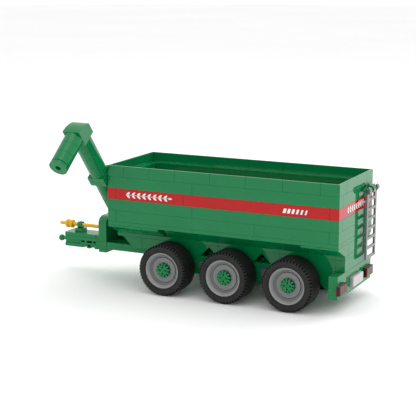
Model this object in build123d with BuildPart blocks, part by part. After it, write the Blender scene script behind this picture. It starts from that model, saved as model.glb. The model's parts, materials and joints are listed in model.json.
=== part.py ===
"""Brick-built grain wagon with three axles, an open hopper tank and a folding front auger.

X runs from the tow ball to the ladder, Y across the wagon and Z up from the ground.
The builder's own grid starts at the tank's front wall (x = 0), the middle of the wagon
(y = 0) and the ground (z = 0); the finished pieces are moved to the row's origin, the
centre of the overall box at ground level.
"""

import os
from math import cos, radians, sin, sqrt, tan

from build123d import *

os.makedirs("parts", exist_ok=True)

# ---- building system ----
stud = 8.0  # pitch of the studs
plate = 3.2  # height of one plate
brick = 9.6  # height of one brick
stud_r = 2.4
stud_h = 1.6
seam = 0.05  # each piece is this much smaller than its place, on every side
edge = 0.15  # broken edges
lip = 1.6  # upright lip above an inverted slope
hole_r = 2.45  # round hole for a cross axle
axle_r = 2.4  # tip radius of a cross axle
axle_arm = 1.8  # thickness of a cross axle's arm
bar_r = 1.6  # round bar that clips take
bar_fit = 0.05  # radial clearance between a bar and its clip or bore
body_gap = 0.3  # clearance between bodies that move past each other

# ---- tank ----
tank_long = 26 * stud
tank_wide = 10 * stud
chassis_rise = 3.8  # underside of the chassis plates above the axles
panel_wall = 1.6  # thickness of a rim panel's wall and foot
front_slopes = 6 * stud  # length of the wide corner slopes at the front
rear_slopes = 4 * stud  # and at the rear
hopper_wide = 6 * stud  # outside width of the lower hopper
saddle_x = (11 * stud, 17 * stud)  # ridges between the three outlets

# ---- running gear ----
axle_x = (7 * stud, 14 * stud, 21 * stud)
tyre_r = 21.6
tyre_wide = 22.0
tyre_round = 3.0
tyre_out = 49.5  # outer wall of a tyre, from the middle
rim_r = 15.2
rim_wide = 20.0
rim_seat_r = 13.6
tyre_fit = 0.1
rim_web = 6.0  # outer face of the rim's disc, from the rim's middle
hub_r = 4.0
cap_r = 6.3
cap_thick = 2.5
cap_slots = 12
cap_slot_deep = 2.0
cap_slot_wide = 1.1
beam_x = (5 * stud, tank_long - 3 * stud)
brace_long = 2 * stud
cap_pin_r = 4.0
cap_pin_long = 3.6

# ---- auger ----
lean = 50.5  # tilt of the auger above the horizontal
foot_y = -3.4
foot_rise = 22.7  # foot of the tube above the chassis
boot_back = 2 * stud
tube_r = 7.9
lower_bricks = 5
upper_bricks = 4
spout_bricks = 3
flange_half = 4.8
knuckle_r = 1.6
leaf_tall = 2.8
hinge_pin_r = 0.8
hinge_fit = 0.05
peg_in = 6.0  # how far the swivel peg reaches into the head
head_fall = 5.4  # fall of the head's top, spout side to back
head_bulge = 1.1
ring_thick = 3.2
ring_neck = 0.5

# ---- drawbar, gearbox and drive shaft ----
drawbar_long = 5 * stud
drawbar_wide = 2 * stud
ball_r = 2.95
ball_reach = 8.4
neck_r = 1.5
shaft_rise = 9.2  # axis of the shaft above the chassis
shaft_out = 9.2  # how far the shaft stands out past the drawbar
shaft_in = 6.0
bush_r = 3.7
bush_long = 6.8
bush_from_tip = 6.8
clip_r = 3.0
clip_long = 4.4
clip_mouth = 2.2

# ---- ladder and rear fittings ----
ladder_x = tank_long + 4.3
ladder_y = 3 * stud  # middle of the ladder, off the wagon's middle
ladder_wide = 3 * stud
ladder_long = 50.8
ladder_hang = 6.7  # top of the ladder below its bar
ladder_steps = 6
rail_wide = 3.2
rail_thick = 1.6
rung_tall = 2.4
bar_drop = 13.6  # bar below the tank's rim
ring_clip_r = 3.1
ring_clip_long = 4.8
lamp_wide = 2 * stud
lamp_tall = 8.0
lamp_thick = plate
lens_thick = 0.9
lamp_drop = 10.5  # middle of the lamps below the chassis top
lamp_y = (-36.0, 28.6)  # middles of the two lamps
number_wide = 3 * stud

# ---- levels ----
axle_z = tyre_r
chassis_low = axle_z + chassis_rise
chassis_mid = chassis_low + plate
chassis_top = chassis_mid + plate
collar_low = chassis_top + brick
slope_low = collar_low + plate
base_low = slope_low + brick
wall_low = base_low + plate
rim_low = wall_low + 4 * brick
bumper_low = chassis_top - 2 * brick
bar_z = rim_low + brick - bar_drop
half_tank = tank_wide / 2
half_hopper = hopper_wide / 2
inside = half_hopper - stud

# ---- auger frame ----
auger_up = Vector(0, -cos(radians(lean)), sin(radians(lean)))
spout_out = Vector(0, -sin(radians(lean)), -cos(radians(lean)))
auger_x = -tube_r - body_gap
foot = Vector(auger_x, foot_y, chassis_top + foot_rise)
flange_at = lower_bricks * brick
hinge_at = flange_at + flange_half
tube_at = hinge_at + flange_half
head_at = tube_at + plate + upper_bricks * brick
head_half = tube_r + 2 * seam
head_tall = 2 * head_half
spout_at = foot + auger_up * (head_at + head_half) + spout_out * head_half
spout_long = spout_bricks * brick + ring_thick
spout_end = spout_at + spout_out * spout_long
tube_plane = Plane(origin=foot, x_dir=(1, 0, 0), z_dir=auger_up)
spout_plane = Plane(origin=spout_at, x_dir=(1, 0, 0), z_dir=spout_out)

# ---- row origin: middle of the overall box, on the ground ----
gearbox_x = auger_x - tube_r - 2 * seam  # rear face of the gearbox
drawbar_tip = gearbox_x - stud - drawbar_long
shaft_z = chassis_top + shaft_rise
front_end = drawbar_tip - ball_reach - ball_r
rear_end = ladder_x + ring_clip_r
near_end = spout_end.Y - (tube_r - edge) * cos(radians(lean))
origin = Vector((front_end + rear_end) / 2, (near_end + tyre_out) / 2, 0)


def finish(piece, name):
    """Move one sub-part to the row's origin, label it and write its STEP file."""
    piece.part = piece.part.moved(Location(-origin))
    piece.part.label = name
    export_step(piece.part, f"parts/{name}.step")


def block(x0, x1, y0, y1, z0, z1):
    """A brick, plate or tile between its grid lines, with seams at its sides."""
    with BuildPart() as one:
        with Locations(((x0 + x1) / 2, (y0 + y1) / 2, (z0 + z1) / 2)):
            Box(x1 - x0 - 2 * seam, y1 - y0 - 2 * seam, z1 - z0)
        chamfer(one.edges(), edge)
    return one.part


def prism(outline, plane, low, high):
    """An outline on a plane, carried from one height to another along its normal."""
    with BuildPart() as one:
        with BuildSketch(plane.offset(low)):
            with BuildLine():
                Polyline(*outline, close=True)
            make_face()
        extrude(amount=high - low)
        chamfer(one.edges(), edge)
    return one.part


def studded(piece, xs, ys, z, height=stud_h):
    """A piece with studs at every x and y, on its face at height z."""
    with BuildPart() as one:
        add(piece)
        with Locations(*[(x, y, z + height / 2) for x in xs for y in ys]):
            Cylinder(stud_r, abs(height))
    return one.part


def steps(start, stop):
    """Middles of the stud places from one grid line to another."""
    return [start + stud * (i + 0.5) for i in range(round((stop - start) / stud))]


def tube_piece(plane, low, high, bore=hole_r):
    """A round brick on a tube's axis, with its axle hole."""
    with BuildPart(plane.offset((low + high) / 2)) as one:
        Cylinder(tube_r, high - low - 2 * seam)
        chamfer(one.edges(), edge)
        Cylinder(bore, high - low, mode=Mode.SUBTRACT)
    return one.part


# The Y-Z outlines are drawn looking along +X, the X-Z outlines looking along +Y.
across = Plane(origin=(0, 0, 0), x_dir=(0, 1, 0), z_dir=(1, 0, 0))
along = Plane(origin=(0, 0, 0), x_dir=(1, 0, 0), z_dir=(0, -1, 0))


# ================= tank walls =================
def wall_course(joint, low, full_ends):
    """One course of wall bricks; full_ends says whether the end bricks reach the corners."""
    inner = stud if full_ends else 0
    end_y = half_tank if full_ends else half_tank - stud
    grid = [inner, joint, tank_long - inner]
    pieces = []
    for x0, x1 in zip(grid, grid[1:]):
        for side in (-1, 1):
            y0, y1 = sorted((side * half_tank, side * (half_tank - stud)))
            pieces.append(block(x0, x1, y0, y1, low, low + brick))
    for x0 in (0, tank_long - stud):
        pieces.append(block(x0, x0 + stud, -end_y, end_y, low, low + brick))
    return pieces


courses = {
    "wall_course_lowest": wall_course(17 * stud, wall_low, True),
    "wall_course_lower": wall_course(10 * stud, wall_low + brick, False),
    "wall_course_red_stripe": wall_course(9 * stud, wall_low + 2 * brick, True),
    "wall_course_upper": wall_course(10 * stud, wall_low + 3 * brick, False),
}

base_ring = []
for x0, x1 in ((0, 10 * stud), (10 * stud, tank_long)):
    for y0 in (-half_tank, half_tank - stud):
        base_ring.append(block(x0, x1, y0, y0 + stud, base_low, wall_low))
for x0 in (0, tank_long - stud):
    base_ring.append(block(x0, x0 + stud, stud - half_tank, half_tank - stud, base_low, wall_low))
courses["tank_base_plates"] = base_ring

# Rim panels: a thin upright wall on a foot one stud deep.
panel = [(0, 0), (stud, 0), (stud, panel_wall), (panel_wall, panel_wall), (panel_wall, brick), (0, brick)]
side_cuts = [2 * stud, 5 * stud, 8 * stud, 12 * stud, 16 * stud, 20 * stud, tank_long - 2 * stud]
end_cuts = [2 * stud - half_tank, 0, half_tank - 2 * stud]
rim = []
for side in (-1, 1):
    outline = [(side * (seam + y - half_tank), rim_low + z) for y, z in panel]
    for a, b in zip(side_cuts, side_cuts[1:]):
        rim.append(prism(outline, across, a + seam, b - seam))
for wall_x, turn in ((seam, 1), (tank_long - seam, -1)):
    outline = [(wall_x + turn * x, rim_low + z) for x, z in panel]
    for a, b in zip(end_cuts, end_cuts[1:]):
        rim.append(prism(outline, along, seam - b, -a - seam))
arm = 2 * stud - 2 * seam
for corner_x, turn_x in ((seam, 1), (tank_long - seam, -1)):
    for turn_y in (1, -1):
        corner_y = turn_y * (half_tank - seam)

        def corner(reach):
            """An L in plan, its outer corner at the tank's corner."""
            points = [(0, 0), (arm, 0), (arm, reach), (reach, reach), (reach, arm), (0, arm)]
            return [(corner_x + turn_x * x, corner_y - turn_y * y) for x, y in points]

        with BuildPart() as angle:
            with BuildSketch(Plane.XY.offset(rim_low)):
                with BuildLine():
                    Polyline(*corner(stud), close=True)
                make_face()
            extrude(amount=panel_wall)
            with BuildSketch(Plane.XY.offset(rim_low)):
                with BuildLine():
                    Polyline(*corner(panel_wall), close=True)
                make_face()
            extrude(amount=brick)
            chamfer(angle.edges(), edge)
        rim.append(angle.part)
courses["rim_panels"] = rim

for name, pieces in courses.items():
    with BuildPart() as course:
        add(pieces)
    finish(course, name)

# ================= hopper below the tank =================
corner_pieces = []
mid_pieces = []
for side in (-1, 1):
    shelf = [side * (half_hopper - stud / 2), side * (half_hopper + stud / 2)]
    outer = side * (half_tank - seam)
    inner = side * inside
    corner_outline = [
        (outer, base_low),
        (inner, base_low),
        (inner, slope_low),
        (side * half_hopper, slope_low),
        (outer, base_low - lip),
    ]
    rear_start = tank_long - rear_slopes
    for x0 in [2 * stud * i for i in range(3)] + [rear_start, rear_start + 2 * stud]:
        piece = prism(corner_outline, across, x0 + seam, x0 + 2 * stud - seam)
        places = [x for x in steps(x0, x0 + 2 * stud) if stud < x < tank_long - stud]
        corner_pieces.append(studded(piece, places, shelf, base_low))
    outer = side * (half_tank - stud - seam)
    mid_outline = [
        (outer, base_low),
        (inner, base_low),
        (inner, slope_low),
        (side * half_hopper, slope_low),
        (outer, base_low - lip),
    ]
    count = round((tank_long - front_slopes - rear_slopes) / (2 * stud))
    mid_long = (tank_long - front_slopes - rear_slopes) / count
    for x0 in [front_slopes + mid_long * i for i in range(count)]:
        piece = prism(mid_outline, across, x0 + seam, x0 + mid_long - seam)
        mid_pieces.append(studded(piece, steps(x0, x0 + mid_long), shelf, base_low))

with BuildPart() as hopper_corner_slopes:
    add(corner_pieces)
finish(hopper_corner_slopes, "hopper_corner_slopes")

with BuildPart() as hopper_side_slopes:
    add(mid_pieces)
finish(hopper_side_slopes, "hopper_side_slopes")

end_bricks = [
    block(x0, x0 + stud, -inside, inside, slope_low, base_low) for x0 in (0, tank_long - stud)
]
with BuildPart() as hopper_end_bricks:
    add(end_bricks)
finish(hopper_end_bricks, "hopper_end_bricks")

collar = []
for y0 in (-half_hopper, inside):
    for x0, x1 in ((0, 12 * stud), (12 * stud, tank_long)):
        collar.append(block(x0, x1, y0, y0 + stud, collar_low, slope_low))
for x0 in (0, tank_long - stud):
    collar.append(block(x0, x0 + stud, -inside, inside, collar_low, slope_low))
with BuildPart() as hopper_collar_plates:
    add(collar)
finish(hopper_collar_plates, "hopper_collar_plates")


def run_slope(x_lip, turn):
    """Outline of an inverted slope that runs along the wagon, its lip at x_lip."""
    return [
        (x_lip + turn * seam, collar_low),
        (x_lip + turn * (2 * stud - seam), collar_low),
        (x_lip + turn * (2 * stud - seam), chassis_top),
        (x_lip + turn * stud, chassis_top),
        (x_lip + turn * seam, collar_low - lip),
    ]


outlet_slopes = []
for y0 in (-2 * stud, 0):
    outlet_slopes.append(prism(run_slope(0, 1), along, -y0 - 2 * stud + seam, -y0 - seam))
for y0 in (-half_hopper, inside):
    outlet_slopes.append(prism(run_slope(stud, 1), along, -y0 - stud + seam, -y0 - seam))
for ridge in saddle_x:
    for turn in (-1, 1):
        for y0 in (-3 * stud, -stud, stud):
            piece = prism(run_slope(ridge, turn), along, -y0 - 2 * stud + seam, -y0 - seam)
            rows = [y for y in steps(y0, y0 + 2 * stud) if abs(y) < inside]
            columns = [ridge + turn * stud * (i + 0.5) for i in range(2)]
            outlet_slopes.append(studded(piece, columns, rows, collar_low))
with BuildPart() as hopper_outlet_slopes:
    add(outlet_slopes)
finish(hopper_outlet_slopes, "hopper_outlet_slopes")

outlet_walls = [block(tank_long - stud, tank_long, -half_hopper, half_hopper, chassis_top, collar_low)]
spans = [
    (3 * stud, saddle_x[0] - 2 * stud),
    (saddle_x[0] + 2 * stud, saddle_x[1] - 2 * stud),
    (saddle_x[1] + 2 * stud, tank_long - stud),
]
for x0, x1 in spans:
    for y0 in (-half_hopper, inside):
        outlet_walls.append(block(x0, x1, y0, y0 + stud, chassis_top, collar_low))
with BuildPart() as hopper_outlet_walls:
    add(outlet_walls)
finish(hopper_outlet_walls, "hopper_outlet_walls")

# ================= chassis =================
chassis_end = tank_long - stud
narrow = 2 * stud
tongue_end = gearbox_x + 2 * stud
floor_studs = [
    x
    for x in steps(2 * stud, chassis_end)
    if not any(stud < abs(x - ridge) < 2 * stud for ridge in saddle_x)
]
upper = [
    block(gearbox_x, tongue_end, -narrow, -stud, chassis_mid, chassis_top),
    block(gearbox_x, tongue_end, stud, narrow, chassis_mid, chassis_top),
    block(tongue_end, beam_x[0], -narrow, narrow, chassis_mid, chassis_top),
    block(beam_x[0], 15 * stud, -half_hopper, half_hopper, chassis_mid, chassis_top),
    block(15 * stud, chassis_end, -half_hopper, half_hopper, chassis_mid, chassis_top),
]
with BuildPart() as chassis_upper_plates:
    add(upper)
    with Locations(*[(x, y, chassis_top + stud_h / 2) for x in floor_studs for y in steps(-inside, inside)]):
        Cylinder(stud_r, stud_h)
finish(chassis_upper_plates, "chassis_upper_plates")

lower = [
    block(gearbox_x, beam_x[0], -narrow, narrow, chassis_low, chassis_mid),
    block(beam_x[0], 11 * stud, -half_hopper, half_hopper, chassis_low, chassis_mid),
    block(11 * stud, chassis_end, -half_hopper, half_hopper, chassis_low, chassis_mid),
]
with BuildPart() as chassis_lower_plates:
    add(lower)
finish(chassis_lower_plates, "chassis_lower_plates")

beam_low = chassis_low - brick
beams = [
    block(beam_x[0], beam_x[1], y0, y0 + stud, beam_low, chassis_low) for y0 in (-half_hopper, inside)
]
with BuildPart() as axle_beams:
    add(beams)
    with Locations(*[Location((x, 0, axle_z), (90, 0, 0)) for x in axle_x]):
        Cylinder(hole_r, 2 * hopper_wide, mode=Mode.SUBTRACT)
finish(axle_beams, "axle_beams")

brace_outline = [
    (beam_x[1] + seam, chassis_low),
    (beam_x[1] + brace_long - seam, chassis_low),
    (beam_x[1] + brace_long - seam, beam_low),
    (beam_x[1] + brace_long / 2, beam_low),
    (beam_x[1] + seam, chassis_low - lip),
]
braces = [
    prism(brace_outline, along, y0 + seam, y0 + 2 * stud - seam) for y0 in (-3 * stud, -stud, stud)
]
with BuildPart() as bumper_braces:
    add(braces)
finish(bumper_braces, "bumper_braces")

with BuildPart() as bumper_upper:
    add(block(chassis_end, tank_long, -half_tank, half_tank, bumper_low + brick, chassis_top))
finish(bumper_upper, "bumper_upper")

with BuildPart() as bumper_lower:
    add(block(chassis_end, tank_long, -half_tank, half_tank, bumper_low, bumper_low + brick))
finish(bumper_lower, "bumper_lower")

pin_places = [((axle_x[i] + axle_x[i + 1]) / 2, side) for i in range(2) for side in (-1, 1)]
with BuildPart() as spring_pin_caps:
    for x, side in pin_places:
        middle = side * (half_hopper - seam + cap_pin_long / 2)
        with Locations(Location((x, middle, chassis_low - 1.0), (90, 0, 0))):
            Cylinder(cap_pin_r, cap_pin_long)
    chamfer(spring_pin_caps.edges(), 0.5)
finish(spring_pin_caps, "spring_pin_caps")

# ================= drawbar =================
bar_end = gearbox_x - stud
half_bar = drawbar_wide / 2
tiles = [
    block(x0, x1, -half_bar, half_bar, chassis_top, chassis_top + plate)
    for x0, x1 in (
        (drawbar_tip, drawbar_tip + 2 * stud),
        (drawbar_tip + 2 * stud, drawbar_tip + 4 * stud),
        (drawbar_tip + 4 * stud, bar_end),
    )
]
with BuildPart() as drawbar_tiles:
    add(tiles)
finish(drawbar_tiles, "drawbar_tiles")

with BuildPart() as drawbar_long_plate:
    add(block(drawbar_tip, tongue_end, -half_bar, half_bar, chassis_mid, chassis_top))
finish(drawbar_long_plate, "drawbar_long_plate")

recess = 0.8
hitch_end = drawbar_tip + 2 * stud
ball_z = chassis_low + plate / 2
with BuildPart() as tow_ball_plate:
    add(block(drawbar_tip, hitch_end, recess - half_bar, half_bar - recess, chassis_low, chassis_mid))
    with Locations(Location((drawbar_tip - ball_reach / 2 + 1, 0, ball_z), (0, 90, 0))):
        Cylinder(neck_r, ball_reach + 1)
    with Locations((drawbar_tip - ball_reach, 0, ball_z)):
        Sphere(ball_r)
finish(tow_ball_plate, "tow_ball_plate")

slot_tall = 1.7
with BuildPart() as drawbar_slotted_plate:
    add(block(hitch_end, gearbox_x, -half_bar, half_bar, chassis_low, chassis_mid))
    for start, long in ((1.0, 3.4), (6.6, 5.8), (13.6, 2.4)):
        with Locations((hitch_end + start + long / 2, 0, chassis_mid - slot_tall / 2)):
            Box(long, drawbar_wide, slot_tall, mode=Mode.SUBTRACT)
finish(drawbar_slotted_plate, "drawbar_slotted_plate")

keel_start = hitch_end + 0.4 * stud
keel_low = chassis_low - 2.4
keel_studs = [keel_start + 3.8, keel_start + 3.8 + stud]
nose = block(drawbar_tip, keel_start, -half_bar, half_bar, chassis_low - plate, chassis_low)
keel = block(keel_start, bar_end, -half_bar, half_bar, keel_low, chassis_low)
with BuildPart() as drawbar_lower_plates:
    add(nose)
    add(keel)
    with Locations(*[(x, y, keel_low - stud_h / 2) for x in keel_studs for y in (-4, 4)]):
        Cylinder(stud_r, stud_h)
    with Locations((keel_start + 6.0, 0, chassis_low - 1.2)):
        Box(3.4, drawbar_wide, slot_tall, mode=Mode.SUBTRACT)
finish(drawbar_lower_plates, "drawbar_lower_plates")

# ================= gearbox =================
box_front = gearbox_x - stud
cover_low = chassis_top + 5 * plate
with BuildPart() as gearbox_foot_plate:
    add(block(box_front, gearbox_x, -narrow, narrow, chassis_low - plate, chassis_low))
finish(gearbox_foot_plate, "gearbox_foot_plate")

cheeks = [
    block(box_front, gearbox_x, y0, y0 + stud, chassis_low, chassis_top) for y0 in (-narrow, stud)
]
with BuildPart() as gearbox_cheeks:
    add(cheeks)
finish(gearbox_cheeks, "gearbox_cheeks")

with BuildPart() as gearbox_body:
    add(block(box_front, gearbox_x, -narrow, narrow, chassis_top, cover_low))
    with Locations(Location(((box_front + gearbox_x) / 2, 0, shaft_z), (0, 90, 0))):
        Cylinder(bar_r + bar_fit, 2 * stud, mode=Mode.SUBTRACT)
finish(gearbox_body, "gearbox_body")

cover_tall = 2 * plate
with BuildPart() as gearbox_cover:
    with BuildSketch(across.offset(box_front + seam)):
        with BuildLine():
            Line((stud, cover_low + cover_tall), (-stud, cover_low + cover_tall))
            EllipticalCenterArc((-stud, cover_low), stud - seam, cover_tall, start_angle=90, arc_size=90)
            Line((seam - narrow, cover_low), (narrow - seam, cover_low))
            EllipticalCenterArc((stud, cover_low), stud - seam, cover_tall, start_angle=0, arc_size=90)
        make_face()
    extrude(amount=stud - 2 * seam)
finish(gearbox_cover, "gearbox_cover")

# ================= drive shaft and its clip =================
clip_x = drawbar_tip + 1.5 * stud
tile_top = chassis_top + plate
with BuildPart() as shaft_clip:
    add(block(clip_x - stud / 2, clip_x + stud / 2, -stud / 2, stud / 2, tile_top, tile_top + plate))
    with BuildSketch(across.offset(clip_x - clip_long / 2)):
        with Locations((0, shaft_z)):
            Circle(clip_r)
            Circle(bar_r + bar_fit, mode=Mode.SUBTRACT)
        with Locations((0, shaft_z + clip_r)):
            Rectangle(clip_mouth, 2 * clip_r, mode=Mode.SUBTRACT)
    extrude(amount=clip_long)
finish(shaft_clip, "shaft_clip")

shaft_start = drawbar_tip - shaft_out
shaft_stop = box_front + shaft_in
bush_start = shaft_start + bush_from_tip
groove_long = 1.0  # relief under the bush, behind the shaft's free end
with BuildPart() as drive_shaft:
    with Locations(Location(((shaft_start + shaft_stop) / 2, 0, shaft_z), (0, 90, 0))):
        Cylinder(bar_r, shaft_stop - shaft_start)
    chamfer(drive_shaft.edges(), 0.3)
    with BuildSketch(across.offset(bush_start)):
        with Locations((0, shaft_z)):
            Circle(bar_r + 1)
            Circle(bar_r - 0.2, mode=Mode.SUBTRACT)
    extrude(amount=groove_long, mode=Mode.SUBTRACT)
finish(drive_shaft, "drive_shaft")

bush_middle = bush_start + bush_long / 2
with BuildPart() as shaft_bush:
    with Locations(Location((bush_middle, 0, shaft_z), (0, 90, 0))):
        Cylinder(bush_r, bush_long)
        with Locations((0, 0, 0)):
            Cylinder(bush_r, bush_long * 0.3, mode=Mode.SUBTRACT)
            Cylinder(bush_r * 0.72, bush_long)
        Cylinder(bar_r + bar_fit, bush_long, mode=Mode.SUBTRACT)
    chamfer(shaft_bush.faces().filter_by(Axis.X).edges().filter_by(GeomType.CIRCLE), 0.2)
finish(shaft_bush, "shaft_bush")

# ================= auger =================
near_foot = foot + spout_out * tube_r
far_foot = foot - spout_out * tube_r
boot_outline = [
    (near_foot.Y + (near_foot.Z - chassis_top) / tan(radians(lean)), chassis_top),
    (near_foot.Y, near_foot.Z),
    (far_foot.Y, far_foot.Z),
    (boot_back, far_foot.Z - (boot_back - far_foot.Y) * tan(radians(lean))),
    (boot_back, chassis_top),
]
with BuildPart() as auger_boot:
    add(prism(boot_outline, across, auger_x - tube_r, auger_x + tube_r))
finish(auger_boot, "auger_boot")

lower_tube = [tube_piece(tube_plane, brick * i, brick * (i + 1)) for i in range(lower_bricks)]
with BuildPart() as auger_lower_tube:
    add(lower_tube)
finish(auger_lower_tube, "auger_lower_tube")

hinge_y = tube_r + knuckle_r + body_gap
knuckle_long = 2 * tube_r / 3


def flange(low, high, leaf_at, knuckles):
    """A square flange half with hinge knuckles along its far edge."""
    with BuildPart(tube_plane) as half:
        with Locations((0, 0, (low + high) / 2)):
            Box(2 * tube_r, 2 * tube_r, high - low)
        chamfer(half.edges(), edge)
        with Locations(*[Location((x, hinge_y, hinge_at), (0, 90, 0)) for x in knuckles]):
            Cylinder(knuckle_r, knuckle_long - body_gap)
        with Locations(*[(x, (hinge_y + tube_r) / 2 - edge, leaf_at) for x in knuckles]):
            Box(knuckle_long - body_gap, hinge_y - tube_r + 2 * edge, leaf_tall)
        with Locations(Location((0, hinge_y, hinge_at), (0, 90, 0))):
            Cylinder(hinge_pin_r + hinge_fit, 3 * tube_r, mode=Mode.SUBTRACT)
        Cylinder(hole_r, 4 * head_at, mode=Mode.SUBTRACT)
    return half.part


leaf_from = seam + leaf_tall / 2
with BuildPart() as auger_lower_flange:
    add(flange(flange_at, hinge_at - seam, hinge_at - leaf_from, (-knuckle_long, knuckle_long)))
finish(auger_lower_flange, "auger_lower_flange")

with BuildPart() as auger_upper_flange:
    add(flange(hinge_at + seam, tube_at, hinge_at + leaf_from, (0,)))
finish(auger_upper_flange, "auger_upper_flange")

with BuildPart(tube_plane) as auger_hinge_pin:
    with Locations(Location((0, hinge_y, hinge_at), (0, 90, 0))):
        Cylinder(hinge_pin_r, 2 * tube_r)
finish(auger_hinge_pin, "auger_hinge_pin")

first = tube_at + plate
upper_tube = [tube_piece(tube_plane, tube_at, first)]
for i in range(upper_bricks):
    upper_tube.append(tube_piece(tube_plane, first + brick * i, first + brick * (i + 1)))
with BuildPart() as auger_upper_tube:
    add(upper_tube)
finish(auger_upper_tube, "auger_upper_tube")

peg_start = head_at - brick
with BuildPart(tube_plane.offset((peg_start + head_at + peg_in) / 2)) as auger_swivel_peg:
    Cylinder(axle_r, head_at + peg_in - peg_start)
    chamfer(auger_swivel_peg.edges(), 0.3)
finish(auger_swivel_peg, "auger_swivel_peg")

# The head's profile lies across its width: x away from the spout, y up the tube.
head_plane = Plane(origin=foot + auger_up * head_at, x_dir=-spout_out, z_dir=(1, 0, 0))
head_low = head_tall - head_fall
top_middle = (0.3 * head_bulge, (head_tall + head_low) / 2 + head_bulge)
with BuildPart() as auger_head:
    with BuildSketch(head_plane.offset(seam - head_half)):
        with BuildLine():
            Line((-head_half, head_tall), (-head_half, body_gap))
            Line((-head_half, body_gap), (head_half, body_gap))
            Line((head_half, body_gap), (head_half, head_low))
            ThreePointArc((head_half, head_low), top_middle, (-head_half, head_tall))
        make_face()
    extrude(amount=2 * head_half - 2 * seam)
    chamfer(auger_head.edges(), edge)
    with BuildSketch(tube_plane.offset(head_at)):
        Circle(hole_r)
    extrude(amount=peg_in + body_gap, mode=Mode.SUBTRACT)
finish(auger_head, "auger_head")

spout_tube = [tube_piece(spout_plane, brick * i, brick * (i + 1)) for i in range(spout_bricks)]
with BuildPart() as auger_spout:
    add(spout_tube)
finish(auger_spout, "auger_spout")

ring_at = spout_bricks * brick
with BuildPart(spout_plane.offset(ring_at)) as spout_end_ring:
    with Locations((0, 0, ring_neck / 2)):
        Cylinder(tube_r - 0.9, ring_neck)
    with Locations((0, 0, (ring_thick + ring_neck) / 2)):
        Cylinder(tube_r, ring_thick - ring_neck)
    Cylinder(hole_r, 4 * ring_thick, mode=Mode.SUBTRACT)
    chamfer(spout_end_ring.edges().filter_by(GeomType.CIRCLE).group_by(SortBy.RADIUS)[-1], edge)
finish(spout_end_ring, "spout_end_ring")

# ================= ladder =================
arm_wide = 5.0
base_thick = 0.8
with BuildPart() as ladder_bracket:
    with Locations((tank_long + base_thick / 2 + seam, ladder_y, bar_z)):
        Box(base_thick, stud - 2 * seam, stud)
    chamfer(ladder_bracket.edges(), edge)
    with Locations(((tank_long + base_thick + ladder_x) / 2, ladder_y, bar_z)):
        Box(ladder_x - tank_long - base_thick + 2 * edge, arm_wide, 2 * bar_r)
    with Locations(Location((ladder_x, ladder_y, bar_z), (90, 0, 0))):
        Cylinder(ring_clip_r, arm_wide)
        Cylinder(bar_r, ladder_wide + 1)
finish(ladder_bracket, "ladder_bracket")

ladder_top = bar_z - ladder_hang
ladder_low = ladder_top - ladder_long
pitch = (ladder_long - rung_tall) / ladder_steps
rail_y = (ladder_wide - rail_wide) / 2
clip_mid = (ladder_wide - ring_clip_long) / 2
with BuildPart() as ladder:
    with Locations(*[(ladder_x, ladder_y + y, (ladder_top + ladder_low) / 2) for y in (-rail_y, rail_y)]):
        Box(rail_thick, rail_wide, ladder_long)
    rung_levels = [ladder_low + rung_tall / 2 + pitch * i for i in range(ladder_steps + 1)]
    with Locations(*[(ladder_x, ladder_y, z) for z in rung_levels]):
        Box(rail_thick, ladder_wide, rung_tall)
    for y in (ladder_y - clip_mid, ladder_y + clip_mid):
        with Locations((ladder_x, y, (ladder_top + bar_z - bar_r) / 2)):
            Box(rail_thick, ring_clip_long, ladder_hang - bar_r)
        with Locations(Location((ladder_x, y, bar_z), (90, 0, 0))):
            Cylinder(ring_clip_r, ring_clip_long)
            Cylinder(bar_r + bar_fit, 2 * ring_clip_long, mode=Mode.SUBTRACT)
        with Locations((ladder_x, y, bar_z + ring_clip_r)):
            Box(clip_mouth, 2 * ring_clip_long, 2 * ring_clip_r, mode=Mode.SUBTRACT)
finish(ladder, "ladder")

# ================= lamps and number plate =================
lamp_plane = Plane(origin=(tank_long, 0, 0), x_dir=(0, 1, 0), z_dir=(1, 0, 0))
lamp_z = chassis_top - lamp_drop
lamp_low = lamp_z - lamp_tall / 2
housing_thick = lamp_thick - lens_thick
housing_end = tank_long + housing_thick
lamp_top = lamp_low + lamp_tall
housings = [
    block(tank_long, housing_end, y - lamp_wide / 2, y + lamp_wide / 2, lamp_low, lamp_top) for y in lamp_y
]
with BuildPart() as lamp_housings:
    add(housings)
finish(lamp_housings, "lamp_housings")

lens_rim = 0.5
with BuildPart() as lamp_lenses:
    with BuildSketch(lamp_plane.offset(housing_thick - seam)):
        with Locations(*[(y, lamp_z) for y in lamp_y]):
            RectangleRounded(lamp_wide - 2 * lens_rim, lamp_tall - 2 * lens_rim, 0.6)
    extrude(amount=lens_thick)
finish(lamp_lenses, "lamp_lenses")

with BuildPart() as number_plate_backing:
    add(block(tank_long, housing_end, -number_wide / 2, number_wide / 2, lamp_low, lamp_top))
finish(number_plate_backing, "number_plate_backing")

with BuildPart() as number_plate_face:
    with BuildSketch(lamp_plane.offset(housing_thick - seam)):
        with Locations((0, lamp_z)):
            RectangleRounded(number_wide - 4 * seam, lamp_tall - 4 * seam, 0.4)
    extrude(amount=lens_thick)
finish(number_plate_face, "number_plate_face")

# ================= wheels =================
half_tyre = tyre_wide / 2
half_rim = rim_wide / 2
bead = 1.6
wheel_y = tyre_out - half_tyre
tyre_hole_r = rim_r + tyre_fit
tyre_seat_r = rim_seat_r + tyre_fit
seat = half_rim - bead - tyre_fit


def turned(outline, x, y):
    """A profile of radius against distance from the wheel's middle, turned about the axle."""
    with BuildPart() as one:
        with BuildSketch(Plane(origin=(x, y, axle_z), x_dir=(1, 0, 0), z_dir=(0, 0, 1))):
            with BuildLine():
                Polyline(*outline, close=True)
            make_face()
        revolve(axis=Axis((x, y, axle_z), (0, 1, 0)))
    return one.part


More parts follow.
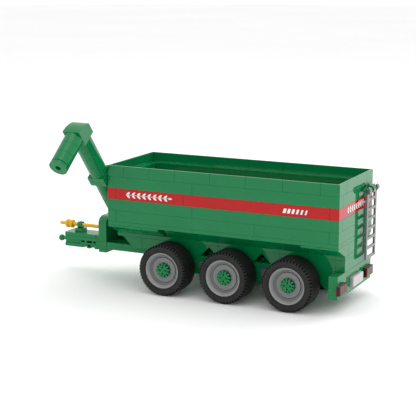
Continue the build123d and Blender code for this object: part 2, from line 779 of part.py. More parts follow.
def rim_outline(turn):
    """The rim's section; turn is the side its dished face looks to."""
    points = [
        (hole_r, rim_web),
        (hub_r * 0.9, rim_web),
        (10.4, rim_web),
        (10.6, rim_web + 1.2),
        (11.6, half_rim - 2.0),
        (12.9, half_rim - 0.9),
        (13.6, half_rim),
        (rim_r, half_rim),
        (rim_r, half_rim - bead),
        (rim_seat_r, half_rim - bead),
        (rim_seat_r, bead - half_rim),
        (rim_r, bead - half_rim),
        (rim_r, -half_rim),
        (12.4, -half_rim),
        (11.6, rim_web - 3.2),
        (hub_r, rim_web - 3.2),
        (hub_r, -half_rim + 1.0),
        (hole_r, -half_rim + 1.0),
    ]
    return [(r, turn * w) for r, w in points]


cross_long = 2 * (wheel_y + rim_web)
names = ("front", "middle", "rear")
for name, x in zip(names, axle_x):
    with BuildPart() as axle:
        axle_end = Plane(origin=(x, cross_long / 2, axle_z), x_dir=(1, 0, 0), z_dir=(0, -1, 0))
        with BuildSketch(axle_end):
            Circle(axle_r)
            with Locations(*[(a * axle_r, b * axle_r) for a in (-1, 1) for b in (-1, 1)]):
                Rectangle(2 * axle_r - axle_arm, 2 * axle_r - axle_arm, mode=Mode.SUBTRACT)
        extrude(amount=cross_long)
    finish(axle, f"{name}_axle")

    tyres = []
    rims = []
    caps = []
    for side in (-1, 1):
        middle = side * wheel_y
        with BuildPart() as tyre:
            with BuildSketch(Plane(origin=(x, middle, axle_z), x_dir=(1, 0, 0), z_dir=(0, 0, 1))):
                with BuildLine():
                    Line((tyre_seat_r, -seat), (tyre_seat_r, seat))
                    Line((tyre_seat_r, seat), (tyre_hole_r, seat))
                    Line((tyre_hole_r, seat), (tyre_hole_r, half_tyre - 0.6))
                    Line((tyre_hole_r, half_tyre - 0.6), (tyre_r - tyre_round, half_tyre))
                    RadiusArc((tyre_r - tyre_round, half_tyre), (tyre_r, half_tyre - tyre_round), tyre_round)
                    Line((tyre_r, half_tyre - tyre_round), (tyre_r, tyre_round - half_tyre))
                    RadiusArc((tyre_r, tyre_round - half_tyre), (tyre_r - tyre_round, -half_tyre), tyre_round)
                    Line((tyre_r - tyre_round, -half_tyre), (tyre_hole_r, 0.6 - half_tyre))
                    Line((tyre_hole_r, 0.6 - half_tyre), (tyre_hole_r, -seat))
                    Line((tyre_hole_r, -seat), (tyre_seat_r, -seat))
                make_face()
            revolve(axis=Axis((x, middle, axle_z), (0, 1, 0)))
        tyres.append(tyre.part)
        rims.append(turned(rim_outline(side), x, middle))
        cap_low = wheel_y + rim_web
        with BuildPart() as cap:
            with Locations(Location((x, side * (cap_low + cap_thick / 2), axle_z), (90, 0, 0))):
                Cylinder(cap_r, cap_thick)
                with PolarLocations(cap_r, cap_slots):
                    Box(2 * cap_slot_deep, cap_slot_wide, 2 * cap_thick, mode=Mode.SUBTRACT)
        caps.append(cap.part)

    with BuildPart() as tyre_pair:
        add(tyres)
    finish(tyre_pair, f"{name}_tyres")
    with BuildPart() as rim_pair:
        add(rims)
    finish(rim_pair, f"{name}_rims")
    with BuildPart() as cap_pair:
        add(caps)
    finish(cap_pair, f"{name}_hub_caps")
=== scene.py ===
"""Studio scene for the brick-built grain wagon: materials, tyres, rims, hub caps, lamps and stripe marks."""

import json
import math

import bmesh
import bpy
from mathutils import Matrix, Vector


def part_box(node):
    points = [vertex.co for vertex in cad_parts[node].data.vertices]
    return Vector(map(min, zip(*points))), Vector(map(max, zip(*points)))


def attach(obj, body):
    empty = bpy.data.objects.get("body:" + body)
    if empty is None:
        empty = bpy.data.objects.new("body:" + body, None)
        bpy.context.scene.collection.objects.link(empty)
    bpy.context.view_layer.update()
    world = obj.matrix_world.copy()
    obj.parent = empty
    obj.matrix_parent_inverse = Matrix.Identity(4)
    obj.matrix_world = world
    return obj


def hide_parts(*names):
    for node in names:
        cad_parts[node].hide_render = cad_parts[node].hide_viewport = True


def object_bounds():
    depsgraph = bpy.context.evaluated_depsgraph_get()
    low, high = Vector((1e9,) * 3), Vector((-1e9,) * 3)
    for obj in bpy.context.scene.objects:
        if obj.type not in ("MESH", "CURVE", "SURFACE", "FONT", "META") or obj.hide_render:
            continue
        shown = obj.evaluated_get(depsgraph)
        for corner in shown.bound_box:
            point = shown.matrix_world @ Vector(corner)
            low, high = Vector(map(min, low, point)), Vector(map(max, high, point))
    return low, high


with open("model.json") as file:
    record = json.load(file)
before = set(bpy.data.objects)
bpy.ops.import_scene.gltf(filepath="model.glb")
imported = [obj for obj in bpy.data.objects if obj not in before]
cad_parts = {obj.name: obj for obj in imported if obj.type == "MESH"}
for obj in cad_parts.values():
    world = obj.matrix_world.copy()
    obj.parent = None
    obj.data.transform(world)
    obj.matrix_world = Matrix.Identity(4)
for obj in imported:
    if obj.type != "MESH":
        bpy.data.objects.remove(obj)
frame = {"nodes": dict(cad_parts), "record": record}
cad_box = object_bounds()
nodes = frame["nodes"]
MM = 0.001

# ---------------------------------------------------------------- materials


def shader(name):
    """A new node material: (material, principled node, node tree)."""
    material = bpy.data.materials.new(name)
    material.use_nodes = True
    tree = material.node_tree
    return material, tree.nodes["Principled BSDF"], tree


def mottle(tree, colour, spread, scale):
    """Colour that wanders a little over the surface."""
    coords = tree.nodes.new("ShaderNodeTexCoord")
    noise = tree.nodes.new("ShaderNodeTexNoise")
    noise.inputs["Scale"].default_value = scale
    noise.inputs["Detail"].default_value = 4.0
    tree.links.new(coords.outputs["Object"], noise.inputs["Vector"])
    ramp = tree.nodes.new("ShaderNodeValToRGB")
    low, high = ramp.color_ramp.elements
    low.position, high.position = 0.35, 0.65
    low.color = [max(0.0, c * (1 - spread)) for c in colour] + [1]
    high.color = [min(1.0, c * (1 + spread)) for c in colour] + [1]
    tree.links.new(noise.outputs["Fac"], ramp.inputs["Fac"])
    return coords, ramp


def bumped(tree, surface, coords, scale, height):
    """Fine relief on a surface."""
    noise = tree.nodes.new("ShaderNodeTexNoise")
    noise.inputs["Scale"].default_value = scale
    noise.inputs["Detail"].default_value = 3.0
    tree.links.new(coords.outputs["Object"], noise.inputs["Vector"])
    bump = tree.nodes.new("ShaderNodeBump")
    bump.inputs["Strength"].default_value = 0.35
    bump.inputs["Distance"].default_value = height
    tree.links.new(noise.outputs["Fac"], bump.inputs["Height"])
    tree.links.new(bump.outputs["Normal"], surface.inputs["Normal"])


def varied_roughness(tree, surface, coords, low, high, scale):
    """Roughness that wanders between two values, as handled plastic has it."""
    noise = tree.nodes.new("ShaderNodeTexNoise")
    noise.inputs["Scale"].default_value = scale
    noise.inputs["Detail"].default_value = 5.0
    tree.links.new(coords.outputs["Object"], noise.inputs["Vector"])
    spread = tree.nodes.new("ShaderNodeMapRange")
    spread.inputs["From Min"].default_value = 0.3
    spread.inputs["From Max"].default_value = 0.7
    spread.inputs["To Min"].default_value = low
    spread.inputs["To Max"].default_value = high
    tree.links.new(noise.outputs["Fac"], spread.inputs["Value"])
    tree.links.new(spread.outputs["Result"], surface.inputs["Roughness"])


def plastic(name, colour, rough=(0.03, 0.06), spread=0.03, relief=1e-6, ior=1.39):
    """Moulded brick plastic: even colour, glossy skin, a trace of orange peel."""
    material, surface, tree = shader(name)
    coords, ramp = mottle(tree, colour, spread, scale=45.0)
    tree.links.new(ramp.outputs["Color"], surface.inputs["Base Color"])
    surface.inputs["IOR"].default_value = ior
    varied_roughness(tree, surface, coords, low=rough[0], high=rough[1], scale=60.0)
    bumped(tree, surface, coords, scale=350.0, height=relief)
    return material


def rubber(name, colour):
    """Dull moulded rubber."""
    material, surface, tree = shader(name)
    coords, ramp = mottle(tree, colour, spread=0.12, scale=120.0)
    tree.links.new(ramp.outputs["Color"], surface.inputs["Base Color"])
    surface.inputs["Specular IOR Level"].default_value = 0.35
    varied_roughness(tree, surface, coords, low=0.55, high=0.72, scale=200.0)
    bumped(tree, surface, coords, scale=2500.0, height=2e-5)
    return material


GREEN = plastic("green_plastic", (0.0008, 0.178, 0.053))
RED = plastic("red_plastic", (0.435, 0.0015, 0.002))
YELLOW = plastic("yellow_plastic", (0.72, 0.40, 0.010))
RIM_GREY = plastic("rim_grey_plastic", (0.185, 0.187, 0.188), rough=(0.06, 0.1), ior=1.5)
# Painted highlight: a lighter, glossier copy of the rim grey for the rims' outer lip.
LIP_HIGHLIGHT_GREY = plastic("rim_lip_painted_highlight", (0.27, 0.272, 0.274), rough=(0.05, 0.09), ior=1.5)
LADDER_GREY = plastic("light_grey_plastic", (0.15, 0.152, 0.154), rough=(0.08, 0.14))
DARK_GREY = plastic("dark_grey_plastic", (0.085, 0.09, 0.095), rough=(0.2, 0.3))
BLACK = plastic("black_plastic", (0.012, 0.012, 0.012), rough=(0.15, 0.25))
WHITE = plastic("white_plastic", (0.52, 0.48, 0.48), rough=(0.2, 0.3))
PLATE_EDGE = plastic("plate_backing", (0.36, 0.355, 0.36), rough=(0.2, 0.3))
LENS_DARK = plastic("lens_dark_red", (0.060, 0.018, 0.014), rough=(0.08, 0.14))
LENS_RED = plastic("lens_bright_red", (0.45, 0.012, 0.012), rough=(0.1, 0.16))
PRINT = plastic("white_print", (0.80, 0.80, 0.79), rough=(0.25, 0.32))
TYRE = rubber("tyre_rubber", (0.0105, 0.0105, 0.0098))
TREAD = rubber("tyre_tread", (0.0045, 0.0045, 0.0042))
# Painted shade: near-black rubber laid in the tyres' notches and grooves and in the rim's groove.
RECESS_SHADE = rubber("recess_shade_rubber", (0.0012, 0.0012, 0.0012))
# Painted shade: near-black green laid in the hub caps' wells and between their teeth.
CAP_SHADE = plastic("cap_painted_shade", (0.0002, 0.012, 0.004), rough=(0.4, 0.5))

BY_SLOT = {
    "green_plastic": GREEN,
    "red_plastic": RED,
    "yellow_plastic": YELLOW,
    "rim_grey_plastic": RIM_GREY,
    "dark_grey_plastic": DARK_GREY,
    "light_grey_plastic": LADDER_GREY,
    "black_plastic": BLACK,
    "white_plastic": WHITE,
    "red_lens": LENS_DARK,
    "tyre_rubber": TYRE,
}
for sub in frame["record"]["subparts"]:
    data = nodes[sub["node"]].data
    data.materials.clear()
    data.materials.append(BY_SLOT[sub["material_slot"]])
# The plate's backing shares its face's slot but is duller.
backing = nodes["number_plate_backing"].data
backing.materials.clear()
backing.materials.append(PLATE_EDGE)

# ---------------------------------------------------------------- mesh helpers


def piece(name, mesh, materials, body, smooth_angle=None):
    """Link a finished bmesh as a piece that rides on a body."""
    data = bpy.data.meshes.new(name)
    bmesh.ops.recalc_face_normals(mesh, faces=mesh.faces)
    mesh.to_mesh(data)
    mesh.free()
    for material in materials:
        data.materials.append(material)
    if smooth_angle is not None:
        data.shade_smooth()
        data.set_sharp_from_angle(angle=math.radians(smooth_angle))
    made = bpy.data.objects.new(name, data)
    bpy.context.scene.collection.objects.link(made)
    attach(made, body)
    return made


def round_point(mesh, centre, radius, angle, out):
    """A vertex by its radius and angle round a wheel's axis, and its place along it, in millimetres."""
    x = centre.x + MM * radius * math.cos(angle)
    z = centre.z + MM * radius * math.sin(angle)
    return mesh.verts.new((x, centre.y + MM * out, z))


def skin(mesh, rows, material=0):
    """Quads between neighbouring rows of vertices, each row a closed ring."""
    for a, b in zip(rows, rows[1:]):
        count = len(a)
        for i in range(count):
            j = (i + 1) % count
            mesh.faces.new((a[i], a[j], b[j], b[i])).material_index = material


# ---------------------------------------------------------------- wheels
# Sizes of the wheels are in millimetres, widths from the middle of the tyre or rim.
TYRE_R = 21.6
TYRE_HALF = 11.0
GROOVE_R = 21.0  # floor of the grooves round the tread
TREAD_FROM_R = 20.9
TREAD_HALF = 8.15
NOTCHES = 48  # round each shoulder
NOTCH_FLOOR_R = 19.9
NOTCH_FROM_R = 20.1
NOTCH_HALF = 8.1
NOTCH_KEEP = 0.08  # share of the shoulder's roundness that a notch's floor keeps
# Columns of points over one notch's pitch: share of the pitch, and whether it lies in the notch.
NOTCH_COLUMNS = (
    (0.0, False),
    (0.28, False),
    (0.5, False),
    (0.53, True),
    (0.75, True),
    (0.97, True),
)


def tyre_section():
    """Tyre section from bead to bead: (radius, width, whether the notches cut it)."""
    near = [
        (13.9, 8.2, 0),
        (15.35, 8.3, 0),
        (15.35, 9.6, 0),
        (15.6, 10.45, 0),
        (16.1, 10.75, 0),
        (16.35, 10.62, 0),
        (16.7, 10.62, 0),
        (16.95, 10.85, 0),
        (18.0, 10.97, 0),
        (19.3, 10.97, 0),
        (19.95, 10.75, 0),
        (20.1, 10.65, 1),
        (20.8, 10.2, 1),
        (21.3, 9.6, 1),
        (TYRE_R, 8.8, 1),
        (TYRE_R, 8.2, 1),
        (TYRE_R, 8.1, 0),
        (TYRE_R, 4.6, 0),
        (GROOVE_R, 4.4, 0),
        (GROOVE_R, 3.9, 0),
        (TYRE_R, 3.7, 0),
        (TYRE_R, 0.35, 0),
        (GROOVE_R, 0.25, 0),
    ]
    far = [(r, -w, n) for r, w, n in reversed(near)]
    return near + far


def tyre(name, centre, body):
    """One tyre: notched shoulders, grooved tread and ribbed walls."""
    mesh = bmesh.new()
    section = tyre_section()
    pitch = 2 * math.pi / NOTCHES
    columns = []
    in_notch = []
    for i in range(NOTCHES):
        for part, notched in NOTCH_COLUMNS:
            column = []
            for r, w, cut in section:
                if cut and notched:
                    r = NOTCH_FLOOR_R + NOTCH_KEEP * (r - NOTCH_FROM_R)
                    w = math.copysign(NOTCH_HALF + NOTCH_KEEP * (abs(w) - NOTCH_HALF), w)
                column.append(round_point(mesh, centre, r, (i + part) * pitch, w))
            columns.append(column)
            in_notch.append(notched)
    for c, (a, b) in enumerate(zip(columns, columns[1:] + columns[:1])):
        at_notch = in_notch[c] or in_notch[(c + 1) % len(in_notch)]
        for k, (r, w, cut) in enumerate(section):
            j = (k + 1) % len(section)
            face = mesh.faces.new((a[k], a[j], b[j], b[k]))
            notched = at_notch and cut and section[j][2]
            grooved = GROOVE_R in (r, section[j][0])
            on_tread = r > TREAD_FROM_R and abs(w) < TREAD_HALF
            # Notch and groove faces take the near-black rubber: painted shade in the recesses.
            face.material_index = 1 if notched or grooved else 2 if on_tread else 0
    return piece(name, mesh, [TYRE, RECESS_SHADE, TREAD], body, smooth_angle=32)


RIM_COLUMNS = 96
# Bounds of the rim groove's painted shade: radii, then places along the axis.
RIM_GROOVE_R = (10.5, 11.02)
RIM_GROOVE_OUT = (4.9, 5.9)
# Bounds of the lip's painted highlight: radius, then place along the axis.
RIM_LIP_R = 12.5
RIM_LIP_OUT = 7
# Rim section as (radius, place along the axis), the open face at positive places.
RIM_SECTION = [
    (2.5, 6.0),
    (3.0, 6.15),
    (3.9, 6.15),
    (4.1, 6.0),
    (10.45, 6.0),
    (10.6, 5.85),
    (10.65, 5.0),
    (11.0, 5.0),
    (11.05, 5.6),
    (11.6, 5.7),
    (12.2, 6.5),
    (12.8, 7.45),
    (13.4, 8.4),
    (13.95, 9.25),
    (14.35, 9.8),
    (14.55, 9.98),
    (14.9, 10.0),
    (15.15, 9.85),
    (15.2, 9.4),
    (15.2, 8.45),
    (13.6, 8.35),
    (13.6, -8.35),
    (15.2, -8.45),
    (15.2, -9.8),
    (15.0, -10.0),
    (12.6, -10.0),
    (12.4, -9.8),
    (11.7, 2.9),
    (11.2, 2.75),
    (4.2, 2.75),
    (4.0, -8.9),
    (2.6, -9.0),
    (2.5, -8.9),
]


def rim(name, centre, side, body):
    """One dished rim, its open face outwards."""
    mesh = bmesh.new()
    columns = []
    for i in range(RIM_COLUMNS):
        angle = 2 * math.pi * i / RIM_COLUMNS
        columns.append([round_point(mesh, centre, r, angle, side * w) for r, w in RIM_SECTION])
    for a, b in zip(columns, columns[1:] + columns[:1]):
        for k, (r, w) in enumerate(RIM_SECTION):
            j = (k + 1) % len(RIM_SECTION)
            face = mesh.faces.new((a[k], a[j], b[j], b[k]))
            in_groove = RIM_GROOVE_R[0] < r < RIM_GROOVE_R[1]
            # The groove's faces take the near-black rubber: painted shade.
            if in_groove and RIM_GROOVE_OUT[0] < w < RIM_GROOVE_OUT[1]:
                face.material_index = 2
            # The outer lip takes the lighter grey: a painted highlight.
            elif r > RIM_LIP_R and w > RIM_LIP_OUT:
                face.material_index = 1
    return piece(name, mesh, [RIM_GREY, LIP_HIGHLIGHT_GREY, RECESS_SHADE], body, smooth_angle=30)


CAP_TEETH = 12
CAP_BASE = 6.0  # face of the rim's disc, which the cap sits on
CAP_TOP = 8.5
CAP_EDGE = (0.22, 0.25)  # broken edge of the top: inwards, downwards
CAP_FACE_R = 3.55
CAP_FACE_RINGS = (3.3, 3.05, 2.8, 2.5, 2.2, 1.9, 1.6, 1.2, 0.8, 0.4)
# Bounds of the painted shade on the cap's face.
CAP_SHADE_R = 3.4
CAP_SHADE_DROP = 0.3
# One tooth and the gap after it: (share of the pitch, radius).
CAP_TOOTH = (
    (0.00, 6.1),
    (0.10, 6.3),
    (0.45, 6.3),
    (0.55, 6.1),
    (0.62, 4.1),
    (0.78, 3.95),
    (0.93, 4.1),
)
WELLS = 4
WELL_AT_R = 2.7
WELL_R = 0.62
WELL_DEEP = 1.2
CROSS_R = 1.9
CROSS_HALF = 0.45
CROSS_DEEP = 0.25
# Ring of painted shade between the teeth: radii, rise off the disc, columns.
GAP_SHADE_R = (3.7, 6.15)
GAP_SHADE_RISE = 0.06
GAP_SHADE_COLUMNS = 48


def cap_dip(radius, angle):
    """Depth of a hub cap's face at a point: round wells, and the quarters that leave a cross."""
    x, z = radius * math.cos(angle), radius * math.sin(angle)
    for k in range(WELLS):
        turn = 2 * math.pi * k / WELLS
        from_well = math.hypot(x - WELL_AT_R * math.cos(turn), z - WELL_AT_R * math.sin(turn))
        if from_well < WELL_R:
            return WELL_DEEP
    if radius < CROSS_R and min(abs(x), abs(z)) > CROSS_HALF:
        return CROSS_DEEP
    return 0.0


def hub_cap(name, centre, side, body):
    """A toothed cap: twelve teeth round a raised boss, four small wells and a cross, with painted shade in
    the wells and between the teeth.
    """
    mesh = bmesh.new()
    outline = []
    for i in range(CAP_TEETH):
        for part, r in CAP_TOOTH:
            outline.append((r, 2 * math.pi * (i + part) / CAP_TEETH))
    rows = []
    for inwards, out in ((0.0, CAP_BASE), (0.0, CAP_TOP - CAP_EDGE[1]), (CAP_EDGE[0], CAP_TOP)):
        rows.append([round_point(mesh, centre, r - inwards, a, side * out) for r, a in outline])
    rows.append([round_point(mesh, centre, CAP_FACE_R, a, side * CAP_TOP) for _, a in outline])
    for r in CAP_FACE_RINGS:
        row = []
        for _, a in outline:
            row.append(round_point(mesh, centre, r, a, side * (CAP_TOP - cap_dip(r, a))))
        rows.append(row)
    skin(mesh, rows)
    mesh.faces.new(rows[-1])
    mesh.faces.new(list(reversed(rows[0])))
    # Painted shade: what lies sunk in the face takes the near-black green.
    for face in mesh.faces:
        middle = face.calc_center_median() - centre
        sunk = side * middle.y < (CAP_TOP - CAP_SHADE_DROP) * MM
        if sunk and math.hypot(middle.x, middle.z) < CAP_SHADE_R * MM:
            face.material_index = 1
    # Painted shade: a near-black ring laid between the teeth, just off the rim's disc.
    shade_rows = []
    for r in GAP_SHADE_R:
        row = []
        for k in range(GAP_SHADE_COLUMNS):
            angle = 2 * math.pi * k / GAP_SHADE_COLUMNS
            row.append(round_point(mesh, centre, r, angle, side * (CAP_BASE + GAP_SHADE_RISE)))
        shade_rows.append(row)
    skin(mesh, shade_rows, material=1)
    return piece(name, mesh, [GREEN, CAP_SHADE], body, smooth_angle=30)


for which in ("front", "middle", "rear"):
    low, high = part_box(f"{which}_tyres")
    middle = (low + high) / 2
    body = f"{which}_wheelset"
    offset = (high.y - low.y) / 2 - TYRE_HALF * MM
    made = {"tyres": [], "rims": [], "hub_caps": []}
    for label, side in (("near", -1), ("far", 1)):
        centre = Vector((middle.x, middle.y + side * offset, middle.z))
        made["tyres"].append(tyre(f"{which}_tyre_{label}", centre, body))
        made["rims"].append(rim(f"{which}_rim_{label}", centre, side, body))
        made["hub_caps"].append(hub_cap(f"{which}_cap_{label}", centre, side, body))
    for group, members in made.items():
        for member in members:
            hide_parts(f"{which}_{group}")

# ---------------------------------------------------------------- lamps
BAR_EDGE = 0.2  # broken edge of a small bar, as a share of its thinnest side
RAIL_WIDE = 0.55 * MM  # bright rail round a lens and round its housing's sides
RAIL_PROUD = 0.25 * MM  # how far a lens's rail stands to each side of its face
SIDE_RAIL = (0.1 * MM, 0.15 * MM)  # a side rail's depth into the housing and out of it
RIBS = 3
RIB_MARGIN = 0.12  # share of a rib's pitch that the gap takes at each side
RIB_PROUD = 0.8 * RAIL_PROUD
GAP_PROUD = 0.3 * RAIL_PROUD


def halves(node):
    """Boxes of a node's near and far solids: [(low, high), (low, high)]."""
    points = [v.co.copy() for v in nodes[node].data.vertices]
    centre_y = (min(p.y for p in points) + max(p.y for p in points)) / 2
    found = []
    for keep in (lambda y: y < centre_y, lambda y: y >= centre_y):
        mine = [p for p in points if keep(p.y)]
        low = Vector([min(p[i] for p in mine) for i in range(3)])
        high = Vector([max(p[i] for p in mine) for i in range(3)])
        found.append((low, high))
    return found


def bar(mesh, low, high, material):
    """A small box between two corners, its edges broken."""
    made = bmesh.ops.create_cube(mesh, size=1.0)["verts"]
    size = [b - a for a, b in zip(low, high)]
    for v in made:
        v.co = Vector([(a + b) / 2 + c * d for a, b, c, d in zip(low, high, v.co, size)])
    edges = list({e for v in made for e in v.link_edges})
    cut = bmesh.ops.bevel(mesh, geom=edges, offset=min(size) * BAR_EDGE, segments=1, affect="EDGES")
    for face in cut["faces"]:
        face.material_index = material
    for v in made:
        if v.is_valid:
            for face in v.link_faces:
                face.material_index = material


def lens_face(mesh, low, high):
    """A lens between two corners: bright rails round it, dark ribs and black gaps across it."""
    front = high.x + RAIL_PROUD
    back = high.x - RAIL_PROUD
    for z in (low.z, high.z - RAIL_WIDE):
        bar(mesh, (back, low.y, z), (front, high.y, z + RAIL_WIDE), 1)
    for y in (low.y, high.y - RAIL_WIDE):
        bar(mesh, (back, y, low.z), (front, y + RAIL_WIDE, high.z), 1)
    z0, z1 = low.z + RAIL_WIDE, high.z - RAIL_WIDE
    pitch = (high.y - low.y - 2 * RAIL_WIDE) / RIBS
    margin = RIB_MARGIN * pitch
    starts = [low.y + RAIL_WIDE + k * pitch for k in range(RIBS)]
    for y in starts:
        bar(mesh, (back, y + margin, z0), (high.x + RIB_PROUD, y + pitch - margin, z1), 0)
    for y in starts[1:]:
        bar(mesh, (back, y - margin, z0), (high.x + GAP_PROUD, y + margin, z1), 2)


def housing_rails(mesh, low, high, back, front):
    """Bright rails round both sides of a housing between two corners, from back to front."""
    for outer, turn in ((low.y, -1), (high.y, 1)):
        y0, y1 = sorted((outer - turn * SIDE_RAIL[0], outer + turn * SIDE_RAIL[1]))
        for z in (low.z, high.z - RAIL_WIDE):
            bar(mesh, (back, y0, z), (front, y1, z + RAIL_WIDE), 1)
        for x in (back, front - RAIL_WIDE):
            bar(mesh, (x, y0, low.z), (x + RAIL_WIDE, y1, high.z), 1)


LAMP_LOOKS = [LENS_DARK, LENS_RED, BLACK]
for label, lens, house in zip(("near", "far"), halves("lamp_lenses"), halves("lamp_housings")):
    mesh = bmesh.new()
    lens_face(mesh, *lens)
    housing_rails(mesh, *house, min(lens[0].x, house[0].x), lens[1].x)
    piece(f"lamp_grille_{label}", mesh, LAMP_LOOKS, "wagon_frame", smooth_angle=30)

# ---------------------------------------------------------------- stripe marks
stripe_low, stripe_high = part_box("wall_course_red_stripe")
stripe_z = (stripe_low.z + stripe_high.z) / 2
middle_y = (stripe_low.y + stripe_high.y) / 2
PRINT_RISE = (0.006 * MM, 0.03 * MM)  # back and face of the print, off the wall
# The marks' own sizes are in millimetres: long by tall.
EAR_SIZE = (44, 4.9)
REAR_EAR_SIZE = (43, 4.9)
BARS_SIZE = (22.5, 3.7)
GRAIN_POINTS = 12
GRAIN_TAPER = 0.35
GRAIN_SIZE = (3.9, 1.7)
GRAIN_TILT = 0.7
GRAIN_RISE = 0.27  # middle of a grain off the stalk, as a share of the ear's height
GRAIN_PAIRS = 8
TIP_SIZE = (3.6, 1.6)
TIP_AT = 1.9  # middle of the tip grain, from the ear's end
TIP_ROOM = 3.5
STALK_HALF = 0.16
STALK_SHORT = 2  # end of the stalk, from the ear's end
BARS = 6
BAR_LEAN = 0.32  # lean of a bar, as a share of its height
BAR_WIDE = (0.66, 0.06)  # width of the first bar and what each next one loses, as shares of the pitch


def grain(along, up, size, tilt):
    """Outline of one pointed grain, as (along, up) pairs."""
    points = []
    for k in range(GRAIN_POINTS):
        a = 2 * math.pi * k / GRAIN_POINTS
        x = size[0] / 2 * math.cos(a)
        z = size[1] / 2 * math.sin(a) * (1 - GRAIN_TAPER * math.cos(a))
        turned_x = x * math.cos(tilt) - z * math.sin(tilt)
        turned_z = x * math.sin(tilt) + z * math.cos(tilt)
        points.append((along + turned_x, up + turned_z))
    return points


def ear_mark(long, tall):
    """Grain ear lying along the stripe: a stalk with paired grains, as outlines."""
    stalk_end = long - STALK_SHORT
    shapes = [[(0, -STALK_HALF), (stalk_end, -STALK_HALF), (stalk_end, STALK_HALF), (0, STALK_HALF)]]
    pitch = (long - TIP_ROOM) / GRAIN_PAIRS
    for k in range(GRAIN_PAIRS):
        for side in (-1, 1):
            shapes.append(grain((k + 0.5) * pitch, side * tall * GRAIN_RISE, GRAIN_SIZE, side * GRAIN_TILT))
    shapes.append(grain(long - TIP_AT, 0, TIP_SIZE, 0.0))
    return shapes


def bars_mark(long, tall):
    """Leaning bars, each narrower than the one before, as outlines."""
    shapes = []
    pitch = long / BARS
    lean = tall * BAR_LEAN
    for k in range(BARS):
        x = k * pitch
        wide = pitch * (BAR_WIDE[0] - BAR_WIDE[1] * k)
        low, high = -tall / 2, tall / 2
        shapes.append([(x, low), (x + wide, low), (x + wide + lean, high), (x + lean, high)])
    return shapes


def mark(name, shapes, start, along, out):
    """Print outlines on a wall; along is the reading direction and out the wall's normal."""
    mesh = bmesh.new()
    for shape in shapes:
        face_points = [start + along * (a * MM) + Vector((0, 0, b * MM)) for a, b in shape]
        low = [mesh.verts.new(p + out * PRINT_RISE[0]) for p in face_points]
        high = [mesh.verts.new(p + out * PRINT_RISE[1]) for p in face_points]
        mesh.faces.new(high)
        mesh.faces.new(list(reversed(low)))
        for i in range(len(low)):
            j = (i + 1) % len(low)
            mesh.faces.new((low[i], low[j], high[j], high[i]))
    piece(name, mesh, [PRINT], "wagon_frame")


X, Y = Vector((1, 0, 0)), Vector((0, 1, 0))
BARS_DROP = 0.5 * MM  # middle of the bars below the stripe's middle
REAR_EAR_START = 21.4 * MM  # from the wagon's middle towards the near side
# Each side: its wall, reading direction, normal, and where the ear and the bars start, from the front.
SIDES = (
    ("near", stripe_low.y, X, -Y, 17.7 * MM, 160.4 * MM),
    ("far", stripe_high.y, -X, Y, 61.7 * MM, 183.7 * MM),
)
for label, wall_y, along, out, ear_start, bars_start in SIDES:
    ear_at = Vector((stripe_low.x + ear_start, wall_y, stripe_z))
    bars_at = Vector((stripe_low.x + bars_start, wall_y, stripe_z - BARS_DROP))
    mark(f"ear_mark_{label}", ear_mark(*EAR_SIZE), ear_at, along, out)
    mark(f"bars_mark_{label}", bars_mark(*BARS_SIZE), bars_at, along, out)
rear_ear_at = Vector((stripe_high.x, middle_y - REAR_EAR_START, stripe_z))
mark("ear_mark_rear", ear_mark(*REAR_EAR_SIZE), rear_ear_at, Y, X)

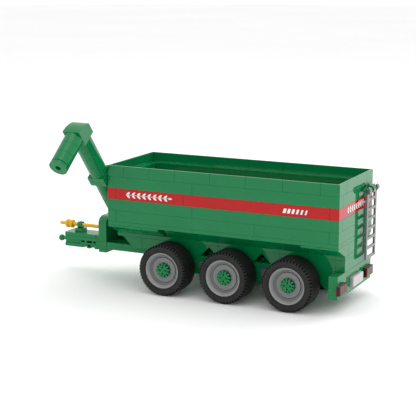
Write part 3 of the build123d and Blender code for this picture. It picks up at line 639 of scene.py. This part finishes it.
# ---------------------------------------------------------------- camera
SEAM = 0.05 * MM  # each brick is this much smaller than its place, on every side
LENS = 105.863  # focal length in mm, as fitted to the photograph
SENSOR = 36.0
CAMERA_AT = Vector((523.318, -916.991, 279.559)) * MM  # from the tank's front, middle and the ground
CAMERA_DOWN = 11.723  # degrees below the horizontal
CAMERA_TURN = 26.040  # degrees towards the rear
tank_low, tank_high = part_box("tank_base_plates")
ground = cad_box[0].z
camera_data = bpy.data.cameras.new("camera")
camera_data.lens = LENS
camera_data.sensor_width = SENSOR
camera = bpy.data.objects.new("camera", camera_data)
grid = Vector((tank_low.x - SEAM, (tank_low.y + tank_high.y) / 2, ground))
camera.location = grid + CAMERA_AT
camera.rotation_euler = (math.radians(90 - CAMERA_DOWN), 0, math.radians(CAMERA_TURN))
bpy.context.scene.collection.objects.link(camera)
bpy.context.scene.camera = camera

# ---------------------------------------------------------------- floor and light
FLOOR_R = 6.0
FLOOR_SEGMENTS = 96
FLOOR_DROP = 0.02 * MM
FLOOR_COLOUR = (0.93, 0.93, 0.93)
WORLD_STRENGTH = 1.04
WAGON_MIDDLE = (0, 0, 0.05)
BEHIND_WAGON = (0.5, 0.55, 0.0)


def floor_disc():
    """A round pale floor under the tyres."""
    mesh = bmesh.new()
    bmesh.ops.create_circle(mesh, cap_ends=True, segments=FLOOR_SEGMENTS, radius=FLOOR_R)
    data = bpy.data.meshes.new("floor")
    mesh.to_mesh(data)
    mesh.free()
    material, surface, tree = shader("floor_white")
    _, ramp = mottle(tree, FLOOR_COLOUR, spread=0.01, scale=2.0)
    tree.links.new(ramp.outputs["Color"], surface.inputs["Base Color"])
    surface.inputs["Roughness"].default_value = 0.9
    surface.inputs["Specular IOR Level"].default_value = 0.1
    data.materials.append(material)
    made = bpy.data.objects.new("floor", data)
    made.location = (0, 0, ground - FLOOR_DROP)
    bpy.context.scene.collection.objects.link(made)


floor_disc()
world = bpy.data.worlds.new("studio")
bpy.context.scene.world = world
world.use_nodes = True
backdrop = world.node_tree.nodes["Background"]
backdrop.inputs["Color"].default_value = (1, 1, 1, 1)
backdrop.inputs["Strength"].default_value = WORLD_STRENGTH


def softbox(name, energy, where, size, aim):
    """A square light aimed at a point."""
    data = bpy.data.lights.new(name, "AREA")
    data.energy = energy
    data.size = size
    made = bpy.data.objects.new(name, data)
    made.location = where
    made.rotation_euler = (Vector(aim) - Vector(where)).to_track_quat("-Z", "Y").to_euler()
    bpy.context.scene.collection.objects.link(made)


softbox("top_softbox", energy=5.0, where=(0.1, 0.25, 1.4), size=1.2, aim=WAGON_MIDDLE)
# The glossy rear wall mirrors this patch of floor behind the ladder.
softbox("rear_floor_light", energy=7.0, where=(0.75, 1.1, 0.9), size=0.8, aim=BEHIND_WAGON)
bpy.context.scene.view_settings.view_transform = "Standard"
